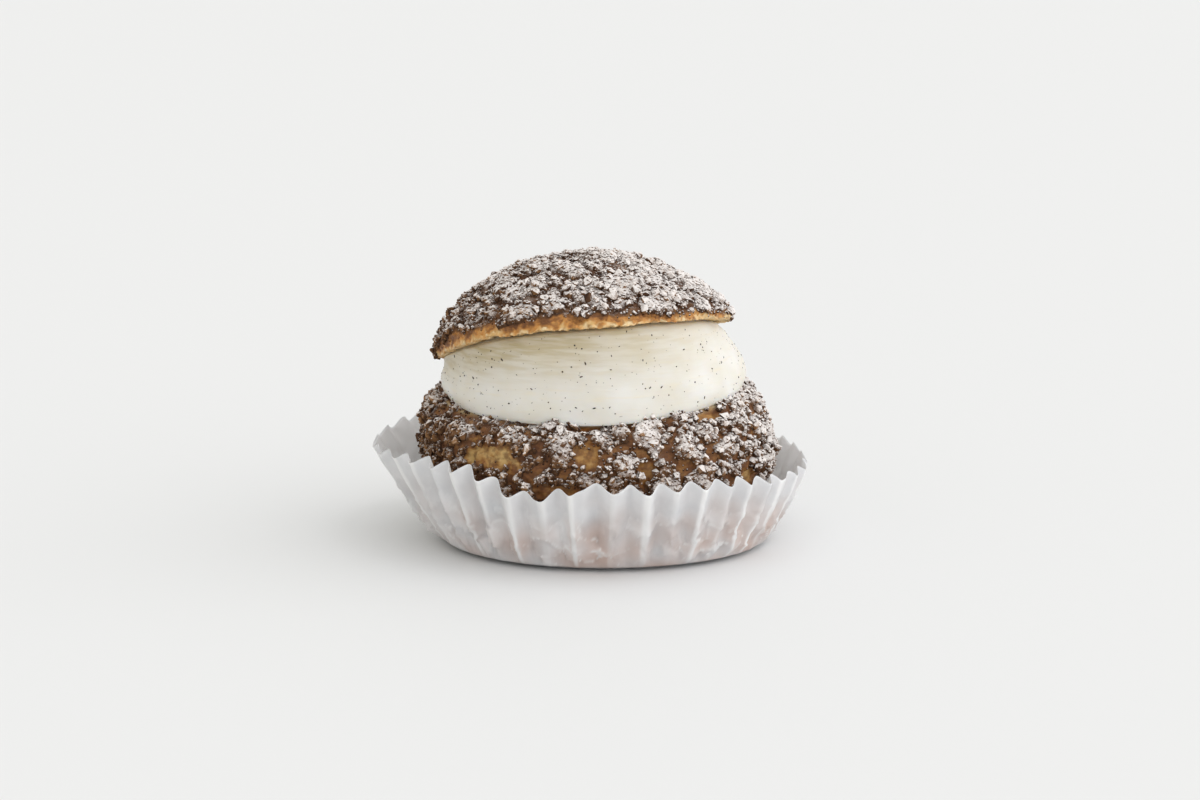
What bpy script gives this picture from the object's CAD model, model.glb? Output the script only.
import math
import random

import bmesh
import bpy
import numpy as np
from mathutils import Matrix, Vector, noise
from mathutils.bvhtree import BVHTree


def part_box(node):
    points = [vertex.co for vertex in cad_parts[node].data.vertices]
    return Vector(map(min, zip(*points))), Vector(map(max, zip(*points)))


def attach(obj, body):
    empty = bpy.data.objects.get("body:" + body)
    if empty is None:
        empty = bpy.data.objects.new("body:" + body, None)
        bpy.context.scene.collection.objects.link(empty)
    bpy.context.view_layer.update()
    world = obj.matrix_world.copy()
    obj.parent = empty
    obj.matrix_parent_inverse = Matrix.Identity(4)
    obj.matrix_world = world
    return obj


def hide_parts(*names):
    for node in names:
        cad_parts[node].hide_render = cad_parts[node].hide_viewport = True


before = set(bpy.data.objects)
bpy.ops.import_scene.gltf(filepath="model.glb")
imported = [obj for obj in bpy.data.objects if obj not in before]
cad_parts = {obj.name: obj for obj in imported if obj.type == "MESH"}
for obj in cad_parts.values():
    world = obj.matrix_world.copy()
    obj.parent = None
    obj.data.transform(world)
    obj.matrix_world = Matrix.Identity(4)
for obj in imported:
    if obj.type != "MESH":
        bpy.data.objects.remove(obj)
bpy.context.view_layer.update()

MM = 0.001

# ---- Paper case ----
# One round sheet of thin white greaseproof paper, pressed between fluted dies into a flat floor and a
# pleated wall. The wall has been pulled well out on the left, where its pleats have opened almost
# flat, and stands close against the bun in front.

CASE_FLOOR_RADIUS = 38
CASE_LEFT_FLARE = 16.88
CASE_BACK_FLARE = 13.71
CASE_WALL_LENGTH = 24.3
CASE_WALL_DRIFT = 3.6
CASE_PLEATS = 40
CASE_TUCK = 3.5
PAPER_THICKNESS = 0.09
PAPER_SHADED = (0.72, 0.73, 0.745)
PAPER_PLAIN = (0.94, 0.94, 0.945)
PAPER_STAINED = (0.7, 0.54, 0.47)
PAPER_CREASED = (0.99, 0.99, 0.985)
PAPER_INSIDE = (0.96, 0.96, 0.955)

case_low, case_high = (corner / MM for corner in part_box("paper_case"))
case_centre = Vector((
    case_low.x + CASE_FLOOR_RADIUS + CASE_LEFT_FLARE,
    case_high.y - CASE_FLOOR_RADIUS - CASE_BACK_FLARE,
    0,
))


def mix(a, b, share):
    return a + (b - a) * share


def ease(low, high, value):
    """0 below low, 1 above high, and a smooth climb between."""
    share = min(1, max(0, (value - low) / (high - low)))
    return share * share * (3 - 2 * share)


def settled(bm):
    """The bmesh as a mesh with its faces in one fixed order, which the operators leave to chance."""
    bm.verts.index_update()
    sides = []
    for face in bm.faces:
        loop = [v.index for v in face.verts]
        first = loop.index(min(loop))
        sides.append(loop[first:] + loop[:first])
    mesh = bpy.data.meshes.new("settled")
    mesh.from_pydata([v.co.copy() for v in bm.verts], [], sorted(sides))
    bm.free()
    return mesh


def spun(profile, segments):
    """A closed bmesh turned about Z from a profile of (radius, height) points that ends on the axis.

    Each vertex is told how far round it lies, -1 on the axis, and how far along the profile.
    """
    bm = bmesh.new()
    along = bm.verts.layers.float.new("along")
    verts = [bm.verts.new((radius, 0, height)) for radius, height in profile]
    for i, v in enumerate(verts):
        v[along] = i / (len(verts) - 1)
    edges = [bm.edges.new(pair) for pair in zip(verts, verts[1:])]
    bmesh.ops.spin(
        bm, geom=verts + edges, cent=(0, 0, 0), axis=(0, 0, 1),
        angle=2 * math.pi, steps=segments, use_merge=True,
    )
    bmesh.ops.remove_doubles(bm, verts=bm.verts, dist=1e-5)
    bmesh.ops.recalc_face_normals(bm, faces=bm.faces)
    marks = [v[along] for v in bm.verts]
    mesh = settled(bm)
    turned = bmesh.new()
    turned.from_mesh(mesh)
    bpy.data.meshes.remove(mesh)
    around = turned.verts.layers.float.new("around")
    along = turned.verts.layers.float.new("along")
    for v, mark in zip(turned.verts, marks):
        v[around] = -1 if v.co.xy.length < 1e-4 else math.atan2(v.co.y, v.co.x) / (2 * math.pi) + 0.5
        v[along] = mark
    return turned


def mapped(mesh, around, along):
    """Lays the skin out flat: each corner goes across by how far round it lies, and up by how far along."""
    corner = np.empty(len(mesh.loops), dtype=np.int32)
    mesh.loops.foreach_get("vertex_index", corner)
    first = np.empty(len(mesh.polygons), dtype=np.int32)
    mesh.polygons.foreach_get("loop_start", first)
    count = np.empty(len(mesh.polygons), dtype=np.int32)
    mesh.polygons.foreach_get("loop_total", count)
    turn = around[corner]
    heading = np.exp(2j * math.pi * turn) * (turn >= 0)
    middle = np.repeat(np.angle(np.add.reduceat(heading, first)) / (2 * math.pi) % 1, count)
    turn = np.where(turn < 0, middle, turn + np.round(middle - turn))
    flat = np.stack([turn, along[corner]], axis=1).astype(np.float32)
    mesh.uv_layers.new(name="OFBake").data.foreach_set("uv", flat.ravel())


def piece(name, bm, material, *, node):
    """Makes the finished object, in metres, and ties it to the CAD part."""
    bmesh.ops.scale(bm, vec=(MM, MM, MM), verts=bm.verts)
    mesh = bpy.data.meshes.new(name)
    bm.to_mesh(mesh)
    bm.free()
    if "around" in mesh.attributes:
        spread = {}
        for key in ("around", "along"):
            spread[key] = np.empty(len(mesh.vertices), dtype=np.float32)
            mesh.attributes[key].data.foreach_get("value", spread[key])
        mapped(mesh, **spread)
    return placed(name, mesh, material, node=node)


def placed(name, mesh, material, *, node, smooth=True):
    if smooth:
        mesh.shade_smooth()
    else:
        mesh.shade_flat()
    mesh.materials.clear()
    mesh.materials.append(material)
    thing = bpy.data.objects.new(name, mesh)
    bpy.context.collection.objects.link(thing)
    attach(thing, "root")
    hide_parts(node)
    return thing


class Finish:
    """A material that is built node by node, patterned in the object's own space."""

    def __init__(self, name):
        self.material = bpy.data.materials.new(name)
        self.material.use_nodes = True
        self.tree = self.material.node_tree
        self.tree.nodes.clear()
        self.space = self.add("ShaderNodeTexCoord").outputs["Object"]

    def add(self, kind, settings=None, **inputs):
        node = self.tree.nodes.new(kind)
        for key, value in (settings or {}).items():
            setattr(node, key, value)
        for key, value in inputs.items():
            socket = node.inputs[int(key[1:])] if key[0] == "_" else node.inputs[key.replace("_", " ")]
            if isinstance(value, bpy.types.NodeSocket):
                self.tree.links.new(value, socket)
            else:
                socket.default_value = value
        return node

    def noise(self, size, detail=3, stretch=(1, 1, 1), roughness=0.5):
        """Cloudy noise whose blobs are about size millimetres across."""
        mapped = self.add("ShaderNodeMapping", Vector=self.space, Scale=stretch).outputs["Vector"]
        made = self.add(
            "ShaderNodeTexNoise", Vector=mapped, Scale=1 / (size * MM), Detail=detail, Roughness=roughness
        )
        return made.outputs["Fac"]

    def attribute(self, name):
        return self.add("ShaderNodeAttribute", {"attribute_name": name}).outputs["Fac"]

    def maths(self, operation, a, b=0.0, clamp=False):
        settings = {"operation": operation, "use_clamp": clamp}
        return self.add("ShaderNodeMath", settings, _0=a, _1=b).outputs[0]

    def window(self, value, low, high, to_low=0.0, to_high=1.0):
        """Rescales value from low..high, smoothly and clamped."""
        node = self.add(
            "ShaderNodeMapRange", {"interpolation_type": "SMOOTHSTEP"},
            Value=value, From_Min=low, From_Max=high, To_Min=to_low, To_Max=to_high,
        )
        return node.outputs[0]

    def ramp(self, value, *stops):
        """stops are (place, (r, g, b)), from low to high."""
        node = self.add("ShaderNodeValToRGB", Fac=value)
        elements = node.color_ramp.elements
        while len(elements) < len(stops):
            elements.new(0.5)
        for element, (place, colour) in zip(elements, stops):
            element.position = place
            element.color = (*colour, 1)
        return node.outputs["Color"]

    def blend(self, a, b, share, kind="MIX"):
        node = self.add("ShaderNodeMix", {"data_type": "RGBA", "blend_type": kind})
        for socket, value in ((node.inputs[0], share), (node.inputs[6], a), (node.inputs[7], b)):
            if isinstance(value, bpy.types.NodeSocket):
                self.tree.links.new(value, socket)
            else:
                socket.default_value = (*value, 1) if isinstance(value, tuple) else value
        return node.outputs[2]

    def bump(self, height, depth, strength=1.0, under=None):
        """Relief of depth millimetres."""
        node = self.add("ShaderNodeBump", Height=height, Distance=depth * MM, Strength=strength)
        if under is not None:
            self.tree.links.new(under, node.inputs["Normal"])
        return node.outputs["Normal"]

    def show(self, shader):
        output = self.add("ShaderNodeOutputMaterial")
        self.tree.links.new(shader, output.inputs["Surface"])
        return self.material


def wall_lean(angle):
    in_front = math.sin(angle) < 0
    sideways = math.cos(angle) ** (6 if in_front else 2)
    side = 30.8 - 4.4 * math.cos(angle)
    return math.radians(mix(20.5 if in_front else 30, side, sideways))


def wall_length(angle):
    drift = CASE_WALL_DRIFT * (0.25 * math.sin(angle) - math.cos(angle))
    sag = 4.4 * math.exp(-(((angle + math.pi * 0.628) / 0.2) ** 2))
    proud = 1.6 * math.exp(-(((angle + math.pi * 0.3) / 0.4) ** 2))
    return CASE_WALL_LENGTH + drift - sag + proud


def pleat_depth(angle):
    opened = math.exp(-(((abs(angle) - 2.95) / 0.35) ** 2))
    return (1.05 - 0.3 * math.sin(angle) - 0.25 * math.cos(angle)) * (1 - 0.55 * opened)


def pleat_wave(angle, share):
    """Folded paper bends sharply at its creases low down and opens into round flutes at the rim."""
    phase = CASE_PLEATS * angle + 1.7 * math.sin(4 * (angle + 2.44)) - 0.5
    phase += 1.1 * noise.noise((11 * math.cos(angle), 11 * math.sin(angle), 4 + 0.5 * share))
    sharp = mix(0.97, 0.5, share)
    return math.asin(sharp * math.cos(phase)) / math.asin(sharp)


noise.seed_set(1)  # the offsets of noise_vector would otherwise follow the clock


def crumple(at):
    """How near a place is to a ridge between flat facets, 1 on it, and how its facet is turned, -1 to 1."""
    warped = at + 1.8 * noise.noise_vector(at * 0.25)
    gaps, middles = noise.voronoi(warped / 5.5)[:2]
    ridge = ease(0.12, 0, gaps[1] - gaps[0])
    return ridge, noise.noise(middles[0] * 3.3) + 0.6 * noise.noise(middles[0] * 1.7 + at * 0.15)


def tucked(angle, share, radius=CASE_FLOOR_RADIUS):
    """How far the foot of the case is pushed back in front."""
    in_front = max(0, -math.sin(angle)) ** 2
    return Vector((0, CASE_TUCK * in_front * (1 - share) * (radius / CASE_FLOOR_RADIUS) ** 3, 0))


def low_down(share):
    return ease(0.95, 0.3, share) * ease(0.02, 0.2, share)


def wall_point(angle, share):
    """share runs from 0 at the floor's edge to 1 at the rim."""
    around = Vector((math.cos(angle), math.sin(angle), 0))
    length = (wall_length(angle) - 0.5 * pleat_wave(angle, 1)) * share
    uneven = 1 + 0.6 * noise.noise(7 * around + Vector((0, 0, 7)))
    out = pleat_depth(angle) * uneven * mix(0.14, 1, share ** 0.75) * pleat_wave(angle, share)
    lean = wall_lean(angle) * mix(1.2, 1, share)
    run = length * math.sin(lean) + out * ease(0, 0.1, share)
    rise = math.sqrt(max(0, length ** 2 - run ** 2))
    radius = CASE_FLOOR_RADIUS + run
    at = case_centre + radius * around + Vector((0, 0, rise)) + tucked(angle, share)
    crinkle = 0.42 * noise.noise(at * 0.32) + 0.2 * noise.noise(at * 0.9)
    ridge, turned = crumple(at)
    squeezed = (0.5 * ridge + 0.8 * turned) * low_down(share)
    return at + around * (crinkle * mix(1, 0.5, share) + squeezed)


def floor_point(angle, radius):
    """The floor curls up into the wall round its edge."""
    around = Vector((math.cos(angle), math.sin(angle), 0))
    curl = ease(CASE_FLOOR_RADIUS - 3.5, CASE_FLOOR_RADIUS + 0.5, radius)
    return case_centre + radius * around + Vector((0, 0, 1.2 * curl ** 1.4)) + tucked(angle, 0, radius)


wall_rows = 36
floor_rows = 10
case_profile = [(CASE_FLOOR_RADIUS * i / floor_rows, 0) for i in range(floor_rows)]
case_profile += [(CASE_FLOOR_RADIUS, i / wall_rows) for i in range(wall_rows + 1)]
paper = spun(case_profile, CASE_PLEATS * 18)
stain_layer = paper.verts.layers.float.new("stain")
crease_layer = paper.verts.layers.float.new("crease")
facet_layer = paper.verts.layers.float.new("facet")
for v in paper.verts:
    angle = math.atan2(v.co.y, v.co.x)
    radius = math.hypot(v.co.x, v.co.y)
    share = v.co.z
    if share == 0 and radius < CASE_FLOOR_RADIUS - 0.01:
        v.co = floor_point(angle, radius)
    else:
        foot = floor_point(angle, CASE_FLOOR_RADIUS)
        v.co = foot.lerp(wall_point(angle, share), ease(0, 0.16, share))
        near_bun = 0.5 + 0.5 * math.cos(angle + 1.1)
        v[stain_layer] = near_bun * ease(1.05, 0.25, share) * (0.7 + 1.1 * noise.noise(v.co * 0.16))
        kept = ease(-0.5, 0.15, noise.noise((7 * math.cos(angle), 7 * math.sin(angle), 9 + share)))
        fold = ease(0.6, 0.97, pleat_wave(angle, share)) * kept * ease(0.02, 0.2, share)
        ridge, turned = crumple(v.co)
        v[crease_layer] = max(fold, 0.8 * ridge * low_down(share) * ease(0, 0.4, turned))
        v[facet_layer] = 0.5 + 0.5 * turned * low_down(share)
bmesh.ops.recalc_face_normals(paper, faces=paper.faces)

white = Finish("greaseproof paper")
cloud = white.noise(5, detail=4)
fibres = white.noise(0.35, detail=2)
facets = white.maths("MULTIPLY", white.attribute("facet"), 0.6)
shading = white.maths("ADD", white.maths("MULTIPLY", cloud, 0.4), facets)
stain = white.maths("MULTIPLY", white.attribute("stain"), 0.65, clamp=True)
crease = white.maths("MULTIPLY", white.attribute("crease"), 0.95)
paper_colour = white.ramp(shading, (0.3, PAPER_SHADED), (0.66, PAPER_PLAIN))
paper_colour = white.blend(paper_colour, PAPER_STAINED, stain)
paper_colour = white.blend(paper_colour, PAPER_CREASED, crease)
facing = white.add("ShaderNodeVectorMath", {"operation": "DOT_PRODUCT"}, _0=white.space)
white.tree.links.new(white.add("ShaderNodeNewGeometry").outputs["Normal"], facing.inputs[1])
inside = white.window(facing.outputs["Value"], -0.02, 0, 0.9, 0.0)
paper_colour = white.blend(paper_colour, PAPER_INSIDE, inside)
paper_relief = white.bump(fibres, 0.02, 0.5, under=white.bump(white.noise(2.2, detail=3), 0.12, 0.6))
paper_front = white.add(
    "ShaderNodeBsdfPrincipled", Base_Color=paper_colour, Roughness=0.62, Normal=paper_relief
)
paper_front.inputs["Specular IOR Level"].default_value = 0.35
paper_back = white.add("ShaderNodeBsdfTranslucent", Color=paper_colour, Normal=paper_relief)
sheet = white.add("ShaderNodeMixShader", Fac=0.34, _1=paper_front.outputs[0], _2=paper_back.outputs[0])
paper_white = white.show(sheet.outputs[0])

case = piece("paper_case_sheet", paper, paper_white, node="paper_case")
case.modifiers.new("paper", "SOLIDIFY").thickness = PAPER_THICKNESS * MM

# ---- Lower half of the bun ----
# Choux pastry baked under a disc of cookie dough. The dough has crackled into plates of rough crumbs
# as the bun swelled, and golden skin shows between them. Icing sugar was sifted over the finished puff.

BUN_CUT_CLIMB = (0.031, 0.035)
BUN_CUT_HEIGHT = 35.4
BUN_CUT_RADIUS = 36.2
CUT_RIM_RADIUS = 34
BUN_OUTSIDE = [
    (29, 0.7), (34, 2.6), (37.6, 6.6), (40.2, 12), (41.6, 17.5), (42, 23), (41.2, 28.6), (39.2, 32.8),
    (BUN_CUT_RADIUS, BUN_CUT_HEIGHT),
]
BUN_HOLLOW = [(30, BUN_CUT_HEIGHT), (30.6, 30), (29, 22), (24, 14.5), (13, 10.6), (0, 9.8)]
BOWL_RADIUS = 31
SKIN_SINK = 2.5
CRUST_START = (12, 18)
SKIN_RADIUS = 41
BASE_PLATES = 8
BALD_PATCHES = [
    # angle in degrees, height, half its width and half its height in millimetres, and how pale it is
    (-126, 26, 8.5, 3.3, 1),
    (-94, 27.5, 3.4, 3.4, 0.3),
    (-103, 19.5, 7, 2.6, 0.1),
    (-74, 23.7, 2.6, 3, 0.2),
    (-31, 19, 6, 2.6, 0.8),
    (-92, 33.6, 8, 1.3, 0.3),
    (-47, 33.6, 7, 1.3, 0.5),
    (22, 25, 5, 3.5, 0.6),
    (70, 20, 7, 3.5, 0.3),
    (118, 27, 6, 3, 0.7),
    (160, 22, 6, 3.5, 0.2),
]

bun_low, bun_high = (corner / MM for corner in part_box("choux_base"))
bun_centre = (bun_low + bun_high) / 2
bun_cut_centre = case_centre + Vector((-3.1, 0, 0))


def rounded(points, count):
    """count points evenly spaced along a smooth curve through the given ones."""
    padded = [points[0], *points, points[-1]]
    dense = []
    for four in zip(padded, padded[1:], padded[2:], padded[3:]):
        a, b, c, d = map(np.array, four)
        for t in np.linspace(0, 1, 24, endpoint=False):
            dense.append(
                0.5 * (2 * b + (c - a) * t + (2 * a - 5 * b + 4 * c - d) * t ** 2
                       + (3 * b - a - 3 * c + d) * t ** 3)
            )
    dense.append(np.array(points[-1], float))
    dense = np.array(dense)
    along = np.concatenate([[0], np.cumsum(np.linalg.norm(np.diff(dense, axis=0), axis=1))])
    marks = np.linspace(0, along[-1], count)
    return [
        (float(np.interp(mark, along, dense[:, 0])), float(np.interp(mark, along, dense[:, 1])))
        for mark in marks
    ]


def lump(angle, height):
    return (
        0.4 * math.sin(3 * angle + 0.08 * height + 0.6)
        + 0.3 * math.sin(5 * angle - 0.1 * height + 2.1)
        + 0.2 * math.sin(8 * angle + 0.13 * height)
    )


def bun_point(angle, radius, height):
    share = ease(BUN_CUT_HEIGHT * 0.5, BUN_CUT_HEIGHT, height)
    centre = bun_centre.lerp(bun_cut_centre, share)
    at = Vector((centre.x + radius * math.cos(angle), centre.y + radius * math.sin(angle), height))
    climb = BUN_CUT_CLIMB[0] * at.x + BUN_CUT_CLIMB[1] * at.y
    at.z += climb * ease(8, BUN_CUT_HEIGHT, height)
    return at


def plates(at, size, crack):
    """1 on a plate of the crackled crust and 0 in the cracks between plates."""
    seed = Vector((11.3, 4.1, 7.7))
    warped = at + 2.2 * noise.noise_vector(at * 0.21) + 0.9 * noise.noise_vector(at * 0.8)
    near, second = noise.voronoi(warped / size + seed)[0][:2]
    return ease(crack * 0.3, crack, second - near)


def heaped(at, clods):
    """Height of the baked dough, whose big clods stand up by clods millimetres and carry smaller ones."""
    bent = at + 0.8 * noise.noise_vector(at * 0.5)
    big = noise.voronoi(bent / 4.8 + Vector((2.2, 8.4, 5.1)))[0][0]
    small = noise.voronoi(bent / 1.9 + Vector((5.2, 1.4, 3.1)))[0][0]
    return 0.3 + clods * (1 - min(1, 1.4 * big ** 2)) + 0.5 * (1 - min(1, 1.5 * small ** 1.6))


def bald(angle, height, at):
    """How far a place is from the nearest bald patch, 1 at the patch's edge, and how pale that patch is."""
    least, paleness = 9, 0
    for degrees, middle, half_width, half_height, pale in BALD_PATCHES:
        turn = (angle - math.radians(degrees) + math.pi) % (2 * math.pi) - math.pi
        apart = math.hypot(turn * SKIN_RADIUS / half_width, (height - middle) / half_height)
        if apart < least:
            least, paleness = apart, pale
    away = least + 0.45 * noise.noise(at * 0.3) + 0.55 * noise.noise(at * 0.8) + 0.3 * noise.noise(at * 2)
    return away, paleness


def strewn(spots, spacing, rng):
    """Takes spots at random, no two closer than spacing. A spot starts with its place."""
    taken = {}
    kept = []
    for spot in rng.sample(spots, len(spots)):
        cell = [int(value // spacing) for value in spot[0]]
        around = [
            other for i in (-1, 0, 1) for j in (-1, 0, 1) for k in (-1, 0, 1)
            for other in taken.get((cell[0] + i, cell[1] + j, cell[2] + k), ())
        ]
        if all((other - spot[0]).length > spacing for other in around):
            taken.setdefault(tuple(cell), []).append(spot[0])
            kept.append(spot)
    return kept


def crumb_shapes(divisions, corners, rng):
    """Angular lumps about 1 mm in radius, each the hull of a few points of a dented ball."""
    shapes = []
    for _ in range(12):
        bm = bmesh.new()
        bmesh.ops.create_icosphere(bm, subdivisions=divisions, radius=1)
        bmesh.ops.delete(bm, geom=bm.edges, context="EDGES_FACES")
        for v in rng.sample(list(bm.verts), len(bm.verts) - corners):
            bm.verts.remove(v)
        for v in bm.verts:
            v.co *= rng.uniform(0.72, 1.15)
        hull = bmesh.ops.convex_hull(bm, input=list(bm.verts))
        spare = hull["geom_interior"] + hull["geom_unused"]
        inside = {v for v in spare if isinstance(v, bmesh.types.BMVert)}
        bmesh.ops.delete(bm, geom=list(inside), context="VERTS")
        bmesh.ops.recalc_face_normals(bm, faces=bm.faces)
        shapes.append(settled(bm))
    return shapes


def crumbs(sites, shapes, rng):
    """One crumb for each (place, normal, radius, foot), and the number of faces of each."""
    bm = bmesh.new()
    counts = []
    for place, normal, radius, _ in sites:
        shape = rng.choice(shapes).copy()
        turn = normal.to_track_quat("Z", "X").to_matrix().to_4x4()
        tip = Matrix.Rotation(rng.uniform(-0.7, 0.7), 4, "X") @ Matrix.Rotation(rng.uniform(0, 6.28), 4, "Z")
        size = Matrix.Diagonal((rng.uniform(1, 1.4), rng.uniform(0.8, 1.05), rng.uniform(0.65, 0.95), 1))
        shape.transform(Matrix.Translation(place) @ turn @ tip @ size @ Matrix.Scale(radius, 4))
        bm.from_mesh(shape)
        counts.append(len(shape.polygons))
        bpy.data.meshes.remove(shape)
    return bm, counts


ABOVE_CRUST = 4
COVER_RISE = 0.6


def crusted(name, skin, spots, rng, *, material, node, upward, peaks, dust, drift, coarse, fine):
    """Lays coarse crumbs on the skin, then fine ones over both, as two pieces of the crust.

    A spot is (place, normal, cover). Every face is told how far it stands out of the crust, the tone of
    its own crumb and how much sugar it catches: dust, and more for a face that looks up, for one that
    stands out and, by drift, towards the right.
    """
    heaps = []
    for place, normal, cover in strewn([s for s in spots if s[2] > 0.6], coarse, rng):
        radius = coarse * (0.42 + 0.34 * rng.random() ** 1.5) * mix(0.5, 1, cover)
        heaps.append((place - normal * radius * 0.15, normal, radius, COVER_RISE * cover))
    lumps, lump_faces = crumbs(heaps, crumb_shapes(2, 22, rng), rng)
    ground = skin.copy()
    shape = bpy.data.meshes.new("lumps")
    lumps.to_mesh(shape)
    ground.from_mesh(shape)
    bpy.data.meshes.remove(shape)
    surface = BVHTree.FromBMesh(ground)
    ground.free()
    grit = []
    for place, normal, cover in strewn([s for s in spots if s[2] > 0.05], fine, rng):
        hit, facing, _, reach = surface.ray_cast(place + normal * ABOVE_CRUST, -normal)
        if hit is None or rng.random() > 0.03 + ease(0.2, 0.75, cover):
            continue
        radius = fine * (0.38 + 0.36 * rng.random() ** 1.6) * mix(0.6, 1, cover)
        proud = ABOVE_CRUST + 0.1 - reach + COVER_RISE * cover
        grit.append((hit + facing * radius * 0.1, (normal + facing).normalized(), radius, proud))
    bits, bit_faces = crumbs(grit, crumb_shapes(1, 12, rng), rng)
    for kind, bm, sites, counts in (("crust", lumps, heaps, lump_faces), ("grit", bits, grit, bit_faces)):
        mesh = bpy.data.meshes.new(f"{name}_{kind}")
        bm.to_mesh(mesh)
        bm.free()
        middles = np.empty(len(mesh.polygons) * 3)
        mesh.polygons.foreach_get("center", middles)
        facing = np.empty(len(mesh.polygons) * 3)
        mesh.polygons.foreach_get("normal", facing)
        owner = np.repeat(np.arange(len(sites)), counts)
        out = middles.reshape(-1, 3) - np.array([s[0] for s in sites])[owner]
        foot = np.array([s[3] for s in sites])[owner]
        proud = np.einsum("ij,ij->i", out, np.array([s[1] for s in sites])[owner]) + foot
        tone = np.array([rng.random() for _ in sites])[owner]
        sugar = dust + upward * facing.reshape(-1, 3)[:, 2] + peaks * np.minimum(proud, 1.7)
        sugar += drift * middles[::3] / 40 + 0.3 * (tone - 0.5)
        sugar = np.minimum(sugar, 0.78)
        told = {"crust": np.ones(len(owner)), "sugar": sugar, "tone": tone, "proud": proud}
        for key, values in told.items():
            layer = mesh.attributes.new(key, "FLOAT", "FACE")
            layer.data.foreach_set("value", values.astype(np.float32))
        corners = np.empty(len(mesh.vertices) * 3)
        mesh.vertices.foreach_get("co", corners)
        corners = corners.reshape(-1, 3) - corners.reshape(-1, 3).mean(axis=0)
        turn = np.arctan2(corners[:, 1], corners[:, 0]) / (2 * math.pi) + 0.5
        steep = np.arctan2(corners[:, 2], np.hypot(corners[:, 0], corners[:, 1])) / math.pi + 0.5
        mapped(mesh, turn, steep)
        mesh.transform(Matrix.Scale(MM, 4))
        placed(f"{name}_{kind}", mesh, material, node=node, smooth=False)


SINGED_BROWN = (0.1, 0.036, 0.012)
PIT_BROWN = (0.036, 0.0135, 0.005)
SUGAR_WHITE = (0.85, 0.81, 0.78)


def crackled_choux(name, golden, singed):
    """Brown crackled crust over golden choux skin that is partly singed, with icing sugar sifted on."""
    bake = Finish(name)
    crust, tone, proud = bake.attribute("crust"), bake.attribute("tone"), bake.attribute("proud")
    grain = bake.noise(0.3, detail=4, roughness=0.75)
    patch = bake.noise(6, detail=3)
    mottle = bake.noise(1.6, detail=4)
    wisp = bake.noise(2.4, detail=5, stretch=(1, 1, 2.2), roughness=0.65)
    light = bake.maths("ADD", bake.maths("MULTIPLY", patch, 0.4), bake.maths("MULTIPLY", wisp, 0.5))
    light = bake.maths("ADD", light, bake.maths("MULTIPLY", bake.attribute("pale"), 0.26))
    skin = bake.ramp(
        light, (0.36, (0.11, 0.038, 0.012)), (0.47, (0.235, 0.093, 0.025)),
        (0.6, golden), (0.78, (0.57, 0.38, 0.145)),
    )
    flesh = bake.ramp(mottle, (0.35, (0.66, 0.4, 0.15)), (0.65, (0.86, 0.7, 0.42)))
    skin = bake.blend(skin, SINGED_BROWN, bake.window(mottle, 0.42, 0.64, 0.0, singed))
    skin = bake.blend(skin, flesh, bake.attribute("crumb"))
    cookie = bake.ramp(
        bake.maths("ADD", bake.maths("MULTIPLY", grain, 0.35), bake.maths("MULTIPLY", tone, 0.5)),
        (0.15, (0.06, 0.025, 0.009)), (0.4, (0.165, 0.076, 0.029)), (0.68, (0.38, 0.2, 0.082)),
    )
    cookie = bake.blend(cookie, PIT_BROWN, bake.window(proud, 0.3, 1.4, 0.95, 0.0))
    colour = bake.blend(skin, cookie, bake.window(crust, 0.3, 0.62))
    speckle = bake.maths("MULTIPLY", bake.maths("SUBTRACT", grain, 0.5), 1.1)
    drift = bake.maths("MULTIPLY", bake.maths("SUBTRACT", patch, 0.5), 0.8)
    sifted = bake.maths("ADD", bake.attribute("sugar"), bake.maths("ADD", speckle, drift))
    colour = bake.blend(colour, SUGAR_WHITE, bake.window(sifted, 0.12, 0.86, 0.0, 0.94))
    shine = bake.window(crust, 0.2, 0.7, 0.4, 0.85)
    relief = bake.bump(grain, 0.12, 0.8, under=bake.bump(mottle, 0.2, 0.5))
    surface = bake.add("ShaderNodeBsdfPrincipled", Base_Color=colour, Roughness=shine, Normal=relief)
    surface.inputs["Specular IOR Level"].default_value = 0.3
    return bake.show(surface.outputs[0])


def skin_layers(bm):
    names = ("crust", "crumb", "sugar", "proud", "pale", "tone")
    return {name: bm.verts.layers.float.new(name) for name in names}


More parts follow.
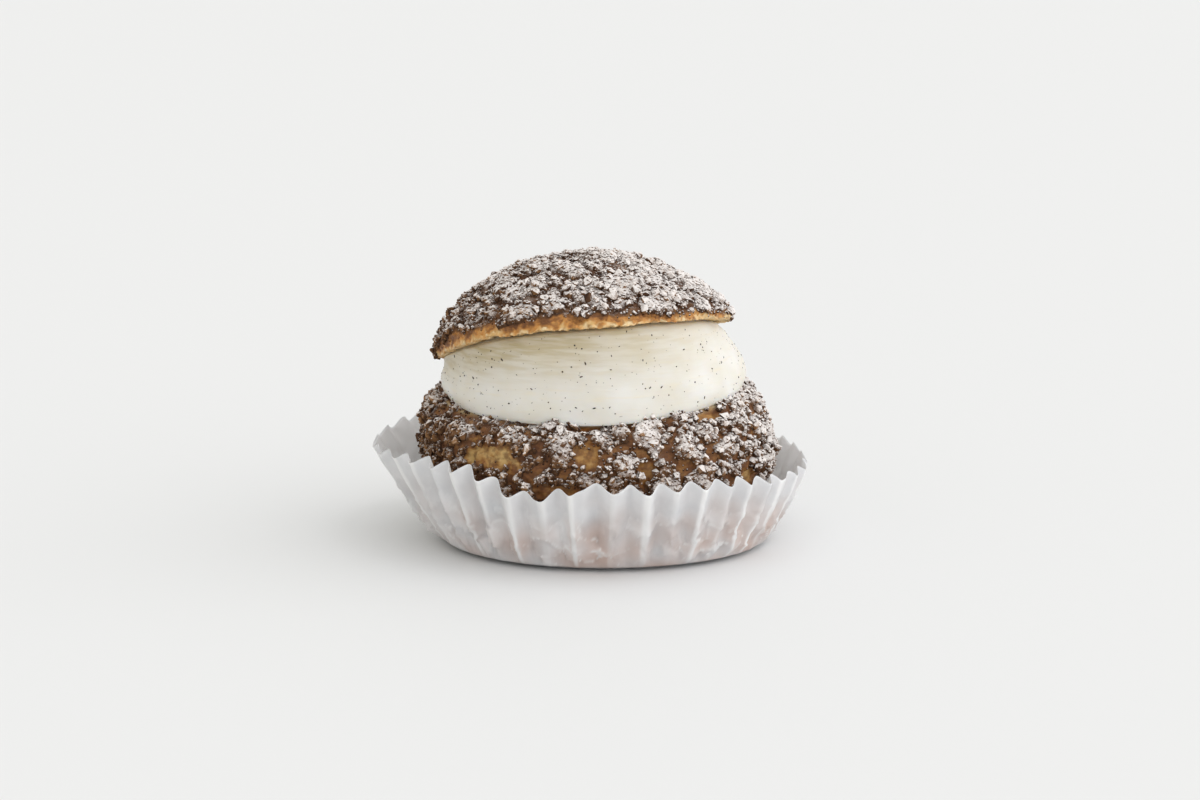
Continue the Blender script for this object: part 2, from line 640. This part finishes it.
rng = random.Random(7)
outside = rounded([(r - SKIN_SINK, z) for r, z in BUN_OUTSIDE], 112)
bowl = spun([(0, 0.7), *outside, *rounded(BUN_HOLLOW, 16)], 560)
layer = skin_layers(bowl)
for v in bowl.verts:
    angle, radius, height = math.atan2(v.co.y, v.co.x), math.hypot(v.co.x, v.co.y), v.co.z
    swell = lump(angle, height) * ease(0, 12, height) if radius > BOWL_RADIUS else 0
    opened = ease(BUN_CUT_RADIUS - SKIN_SINK, CUT_RIM_RADIUS, radius)
    v[layer["crumb"]] = opened * ease(BUN_CUT_HEIGHT - 1, BUN_CUT_HEIGHT, height)
    v.co = bun_point(angle, radius + swell, height)
bowl.normal_update()
crusty = []
for v in bowl.verts:
    outward = Vector((v.co.x - bun_centre.x, v.co.y - bun_centre.y, 0)).normalized()
    if v.normal.dot(outward) < 0.1 or v.co.z < 4:
        continue
    at = v.co.copy()
    angle = math.atan2(outward.y, outward.x)
    cut = BUN_CUT_HEIGHT + BUN_CUT_CLIMB[0] * at.x + BUN_CUT_CLIMB[1] * at.y
    room = ease(*CRUST_START, at.z) * ease(cut + 1.2, cut - 0.2, at.z)
    away, pale = bald(angle, at.z, at)
    cover = max(0.4, plates(at, BASE_PLATES, 0.15)) * ease(0.72, 1, away) * room
    wrinkle = 0.4 * noise.noise(at * 0.45) + 0.16 * noise.noise(at * 1.7)
    heap = heaped(at, 1.8)
    crusty.append((v, cover, heap))
    v[layer["crust"]] = cover
    v[layer["tone"]] = 0.45
    v[layer["proud"]] = heap * cover * 0.7
    v[layer["pale"]] = pale * ease(1, 0.3, away)
    v.co += v.normal * (cover * heap + wrinkle * room)
bowl.normal_update()
spots = []
for v, cover, heap in crusty:
    v[layer["sugar"]] = mix(-0.3, 0.62 * v.normal.z + 0.2 * heap - 0.08, cover)
    spots.append((v.co.copy(), v.normal.copy(), cover))
base_bake = crackled_choux("crackled choux, lower half", (0.42, 0.215, 0.062), 0.62)
crusted(
    "choux_base", bowl, spots, rng, material=base_bake, node="choux_base",
    upward=0.95, peaks=0.62, dust=-0.56, drift=0.38, coarse=1.7, fine=0.66,
)
piece("choux_base_bun", bowl, base_bake, node="choux_base")

# ---- Lid ----
# The sliced-off top of the same bun, a dome that leans back and to the left on the cream. Its crust
# stops short of the cut edge, where a strip of golden skin shows all round.

LID_RADIUS = 35.6
LID_RISE = 21.4
LID_WALL = 5
LID_CRUST_RISE = 2.8
LID_CRUST_REACH = 0.9
LID_LEFT_REACH = 1.4
LID_LEAN_BACK = math.radians(13.5)
LID_LEAN_LEFT = math.radians(7)
LID_PLATES = 8

lid_low, lid_high = (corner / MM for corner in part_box("choux_lid"))
lid_turn = Matrix.Rotation(-LID_LEAN_BACK, 4, "X") @ Matrix.Rotation(-LID_LEAN_LEFT, 4, "Y")
lid_drop = LID_RADIUS * math.sqrt(1 - lid_turn[2][2] ** 2)
lid_centre = Vector(((lid_low.x + lid_high.x) / 2, (lid_low.y + lid_high.y) / 2, lid_low.z + lid_drop))
lid_place = Matrix.Translation(lid_centre) @ lid_turn


def dome_height(rise, share, angle):
    """The dome is fuller on the left than on the right."""
    fullness = 0.72 + (0.06 if math.cos(angle) > 0 else 0.14) * math.cos(angle)
    return rise * max(0, 1 - share ** 2) ** fullness


def rim_wave(angle):
    """The cut edge is lifted at the front left and droops at the left."""
    lifted = math.exp(-(((angle + 2.05) / 0.45) ** 2))
    drooping = math.exp(-(((abs(angle) - math.pi) / 0.4) ** 2))
    return 1.4 * lifted - 0.5 * drooping


def lid_strip(angle):
    """How much bare skin shows above the cut edge, in millimetres."""
    around = Vector((math.cos(angle), math.sin(angle), 0))
    wide = 0.6 + 3 * max(0, math.cos(angle + 2.05)) ** 2
    ragged = 1.5 * noise.noise(4 * around) + 1.3 * noise.noise(11 * around) + 0.7 * noise.noise(30 * around)
    corner = 2.4 * math.exp(-(((abs(angle) - math.pi) / 0.14) ** 2))
    return wide + ragged - corner


dome = [math.sin(t * math.pi / 2) for t in np.linspace(1, 0, 90)]
hollow = [math.sin(t * math.pi / 2) for t in np.linspace(0, 1, 16)]
hollow_share = (LID_RADIUS - LID_WALL) / LID_RADIUS
# a height of 0.5 marks the hollow's rows, and of 1 the outside's
lid_profile = [(share * hollow_share, 0.5) for share in hollow] + [(share, 1) for share in dome]
shell = spun([(0, 0.5), *lid_profile[1:-1], (0, 1)], 500)
layer = skin_layers(shell)
for v in shell.verts:
    angle, share = math.atan2(v.co.y, v.co.x), math.hypot(v.co.x, v.co.y)
    outside = v.co.z > 0.75
    if outside:
        height = dome_height(LID_RISE - LID_CRUST_RISE, share, angle)
        swell = 0.6 * lump(angle, 30 * share) * share * (1 - share ** 4)
        drawn_in = LID_LEFT_REACH * max(0, -math.cos(angle)) ** 4 * share ** 4
        radius = (LID_RADIUS - LID_CRUST_REACH - drawn_in) * share + swell
    else:
        height = dome_height(LID_RISE - LID_WALL, min(1, share / hollow_share), angle)
        radius = LID_RADIUS * share
    at = Vector((radius * math.cos(angle), radius * math.sin(angle), height))
    torn = height + 1.4 * noise.noise(at * 0.45) + 1.2 * noise.noise(at * 1.3)
    v[layer["crumb"]] = 0.8 * ease(0.7, 0, torn) if outside else 1
    v[layer["pale"]] = 0.7 * ease(2.4, 0.4, torn)
    edge = ease(0.6, 1, share)
    ragged = 0.6 * noise.noise(at * 0.11) + 0.6 * noise.noise(at * 0.35) + 0.6 * noise.noise(at * 1.1)
    at.z += edge * (rim_wave(angle) + ragged)
    v.co = at
shell.normal_update()
crusty = []
for v in shell.verts:
    inner = v.normal.dot(v.co) < 0 or v.co.length < LID_RISE - 4.5
    if inner or v.normal.z < -0.2:
        continue
    at = v.co.copy()
    angle = math.atan2(at.y, at.x)
    bare = lid_strip(angle)
    cover = ease(bare - 0.4, bare + 0.6, at.z) * max(0.5, plates(at, LID_PLATES, 0.16))
    wrinkle = 0.25 * noise.noise(at * 0.7) + 0.2 * noise.noise(at * 1.9)
    heap = heaped(at, 1.2)
    crusty.append((v, cover, heap))
    v[layer["crust"]] = cover
    v[layer["tone"]] = 0.45
    v[layer["proud"]] = heap * cover * 0.7
    v.co += v.normal * (cover * heap + wrinkle)
shell.transform(lid_place)
shell.normal_update()
spots = []
for v, cover, heap in crusty:
    v[layer["sugar"]] = mix(-0.3, 0.62 * v.normal.z + 0.2 * heap - 0.08, cover)
    spots.append((v.co.copy(), v.normal.copy(), cover))
lid_bake = crackled_choux("crackled choux, lid", (0.56, 0.25, 0.06), 0.42)
crusted(
    "choux_lid", shell, spots, rng, material=lid_bake, node="choux_lid",
    upward=1.2, peaks=0.75, dust=-0.66, drift=0.5, coarse=1.7, fine=0.62,
)
piece("choux_lid_dome", shell, lid_bake, node="choux_lid")

# ---- Cream ----
# Vanilla custard lightened with whipped cream. It fills the hollow of the bun, was piled above the
# cut, and was pressed out level by the lid. Seeds from the vanilla pod are stirred all through it.

HOLLOW_GAP = 0.35
SEEDS = 480
CREAM_SHADED = (0.69, 0.655, 0.57)
CREAM_PLAIN = (0.75, 0.735, 0.69)
CREAM_STREAKED = (0.76, 0.67, 0.49)
CREAM_SMEARED = (0.4, 0.32, 0.165)
SPECK_GREY = (0.2, 0.15, 0.1)

# radius, height above the table, and how far the row has left the bun and follows the lid
cream_rows = [
    (0, 9.8 + HOLLOW_GAP, 0), (13, 11, 0), (23.6, 14.9, 0), (28.6, 22.4, 0), (30.2, 30.4, 0),
    (30, BUN_CUT_HEIGHT + 0.2, 0), (34.4, BUN_CUT_HEIGHT + 0.2, 0), (35.9, BUN_CUT_HEIGHT + 0.2, 0.06),
    (36.6, BUN_CUT_HEIGHT, 0.2), (36.5, BUN_CUT_HEIGHT, 0.42), (35.7, BUN_CUT_HEIGHT, 0.66),
    (34.4, BUN_CUT_HEIGHT, 0.85), (33.2, BUN_CUT_HEIGHT, 0.97), (32.2, BUN_CUT_HEIGHT, 1),
]


def cream_point(angle, radius, height, lift, domed):
    in_bun = bun_point(angle, radius, height)
    sag = math.exp(-(((angle + 1.5) / 0.8) ** 2)) * ease(34.5, 36, radius)
    in_bun.z -= 1.5 * sag
    sunk = domed - HOLLOW_GAP + 0.7 * rim_wave(angle) * ease(28, 33, radius)
    in_lid = lid_place @ Vector((radius * math.cos(angle), radius * math.sin(angle), sunk))
    return in_bun.lerp(in_lid, lift)


belt = rounded([(i, r) for i, (r, _, _) in enumerate(cream_rows)], 110)
places = np.arange(len(cream_rows))
heights = [row[1] for row in cream_rows]
lifts = [row[2] for row in cream_rows]
fill = [math.sin(t * math.pi / 2) for t in np.linspace(1, 0, 24)]
cream_profile = [(radius, i) for i, radius in belt]
last = len(cream_rows)
fill_radius = LID_RADIUS - LID_WALL - HOLLOW_GAP
cream_profile += [(fill_radius * share, last + 1 - share) for share in fill]
cream = spun([(0, 0), *cream_profile[1:-1], (0, last + 1)], 300)
smear_layer = cream.verts.layers.float.new("smear")
for v in cream.verts:
    angle, radius, mark = math.atan2(v.co.y, v.co.x), math.hypot(v.co.x, v.co.y), v.co.z
    height, lift = float(np.interp(mark, places, heights)), float(np.interp(mark, places, lifts))
    domed = 0
    if mark > last - 0.5:
        domed = dome_height(LID_RISE - LID_WALL, min(1, radius / (fill_radius + HOLLOW_GAP)), angle)
    at = cream_point(angle, radius, height, lift if mark <= last - 1 else 1, domed)
    if radius > 32:
        outward = Vector((math.cos(angle), math.sin(angle), 0))
        at -= outward * 2.2 * max(0, -math.cos(angle)) ** 3 * ease(32, 35, radius)
        at -= outward * 1.3 * max(0, math.cos(angle)) ** 3 * ease(0.2, 0.85, lift)
        squashed = Vector((at.x * 0.09, at.y * 0.09, at.z * 0.35))
        soft = 0.5 * noise.noise(at * 0.06) + 0.3 * noise.noise(squashed)
        scraped = Vector((at.x * 0.12, at.y * 0.12, at.z * 1.1))
        smear = 0.3 * noise.noise(scraped) * ease(0.55, 0.9, lift)
        v[smear_layer] = ease(0.3, 0.95, lift) * mix(0.15, 1, max(0, math.cos(angle + 2.1)))
        at += outward * (soft + smear) * ease(32, 35, radius)
    v.co = at
bmesh.ops.recalc_face_normals(cream, faces=cream.faces)
cream_skin = BVHTree.FromBMesh(cream)

seeds = bmesh.new()
speck = bpy.data.meshes.new("speck")
ball = bmesh.new()
bmesh.ops.create_icosphere(ball, subdivisions=1, radius=1)
ball.to_mesh(speck)
ball.free()
for k in range(SEEDS):
    angle, lift = rng.uniform(-math.pi, math.pi), rng.uniform(0.03, 0.97)
    place, normal, _, _ = cream_skin.find_nearest(cream_point(angle, 36, BUN_CUT_HEIGHT, lift, 0))
    size = 0.08 + 0.15 * rng.random() ** 2
    long = size * rng.choice((1, 1.2, 1.5, 2.4))
    turn = normal.to_track_quat("Z", "X").to_matrix().to_4x4() @ Matrix.Rotation(rng.uniform(0, 3.14), 4, "Z")
    scale = Matrix.Diagonal((long, size, size * 0.5, 1))
    seed = speck.copy()
    seed.transform(Matrix.Translation(place) @ turn @ scale)
    seeds.from_mesh(seed)
    bpy.data.meshes.remove(seed)

custard = Finish("vanilla cream")
streak = custard.noise(3, detail=3, stretch=(0.35, 0.35, 3))
cloud = custard.noise(9, detail=2)
cream_colour = custard.ramp(cloud, (0.3, CREAM_SHADED), (0.7, CREAM_PLAIN))
cream_colour = custard.blend(cream_colour, CREAM_STREAKED, custard.window(streak, 0.54, 0.78, 0.0, 0.35))
broken = custard.window(streak, 0.34, 0.66, 0.62, 1.0)
smeared = custard.maths("MULTIPLY", custard.attribute("smear"), broken)
cream_colour = custard.blend(cream_colour, CREAM_SMEARED, custard.maths("MULTIPLY", smeared, 0.95))
faint = custard.add("ShaderNodeTexVoronoi", Vector=custard.space, Scale=1 / (1.1 * MM))
dots = custard.window(faint.outputs["Distance"], 0.1, 0.16, 1.0, 0.0)
picked = custard.window(faint.outputs["Color"], 0.55, 0.6)
specks = custard.maths("MULTIPLY", custard.maths("MULTIPLY", dots, picked), 0.55)
cream_colour = custard.blend(cream_colour, SPECK_GREY, specks)
cream_relief = custard.bump(streak, 0.12, 0.5, under=custard.bump(custard.noise(1.2, detail=3), 0.03, 0.5))
cream_body = custard.add(
    "ShaderNodeBsdfPrincipled", Base_Color=cream_colour, Roughness=0.46, Normal=cream_relief
)
cream_body.inputs["Subsurface Weight"].default_value = 0.45
cream_body.inputs["Subsurface Radius"].default_value = (1, 0.75, 0.45)
cream_body.inputs["Subsurface Scale"].default_value = 2.2 * MM
cream_body.inputs["Specular IOR Level"].default_value = 0.4
cream_white = custard.show(cream_body.outputs[0])
piece("vanilla_cream_body", cream, cream_white, node="vanilla_cream")

pod = Finish("vanilla seed")
seed_body = pod.add("ShaderNodeBsdfPrincipled", Base_Color=(0.035, 0.022, 0.014, 1), Roughness=0.5)
seed_black = pod.show(seed_body.outputs[0])
piece("vanilla_seeds", seeds, seed_black, node="vanilla_cream")

# ---- Table, light and camera ----
# A plain pale table under soft daylight that comes from the right and a little in front.

TABLE_WHITE = (0.765, 0.77, 0.77, 1)
DAYLIGHT = (1, 0.99, 0.98)
ROOM_BEHIND = (0.57, 0.548, 0.475, 1)
ROOM_IN_FRONT = (1.2, 1.21, 1.24, 1)
CAMERA_DROP = math.radians(11.7)

table = bmesh.new()
bmesh.ops.create_circle(table, cap_ends=True, segments=96, radius=3000)
bmesh.ops.scale(table, vec=(MM, MM, MM), verts=table.verts)
table_mesh = bpy.data.meshes.new("table")
table.to_mesh(table_mesh)
table_top = bpy.data.objects.new("table", table_mesh)
bpy.context.collection.objects.link(table_top)
pale = Finish("pale table")
pale_body = pale.add("ShaderNodeBsdfPrincipled", Base_Color=TABLE_WHITE, Roughness=0.7)
table_mesh.materials.append(pale.show(pale_body.outputs[0]))

daylight = bpy.data.lights.new("daylight", "SUN")
daylight.energy = 0.9
daylight.angle = math.radians(80)
daylight.color = DAYLIGHT
lamp = bpy.data.objects.new("daylight", daylight)
lamp.rotation_mode = "QUATERNION"
lamp.rotation_quaternion = Vector((-1, 0.3, -0.55)).to_track_quat("-Z", "Y")
bpy.context.collection.objects.link(lamp)

world = bpy.data.worlds.new("studio")
world.use_nodes = True
studio = world.node_tree
towards = studio.nodes.new("ShaderNodeTexCoord")
sideways = studio.nodes.new("ShaderNodeVectorMath")
sideways.operation = "DOT_PRODUCT"
sideways.inputs[1].default_value = (0.8, -0.48, 0.36)
studio.links.new(towards.outputs["Generated"], sideways.inputs[0])
turned = studio.nodes.new("ShaderNodeMapRange")
turned.inputs["From Min"].default_value = -1
studio.links.new(sideways.outputs["Value"], turned.inputs["Value"])
walls = studio.nodes.new("ShaderNodeValToRGB")
walls.color_ramp.elements[0].color = ROOM_BEHIND
walls.color_ramp.elements[1].color = ROOM_IN_FRONT
studio.links.new(turned.outputs[0], walls.inputs["Fac"])
studio.links.new(walls.outputs["Color"], studio.nodes["Background"].inputs["Color"])
studio.nodes["Background"].inputs["Strength"].default_value = 1.04
scene = bpy.context.scene
scene.world = world
scene.view_settings.view_transform = "Standard"

camera_data = bpy.data.cameras.new("camera")
camera_data.sensor_width = 36
camera_data.lens = 100
camera = bpy.data.objects.new("camera", camera_data)
camera.location = (1.8 * MM, -766.5 * MM, 191 * MM)
camera.rotation_euler = (math.radians(90) - CAMERA_DROP, 0, 0)
bpy.context.collection.objects.link(camera)
scene.camera = camera
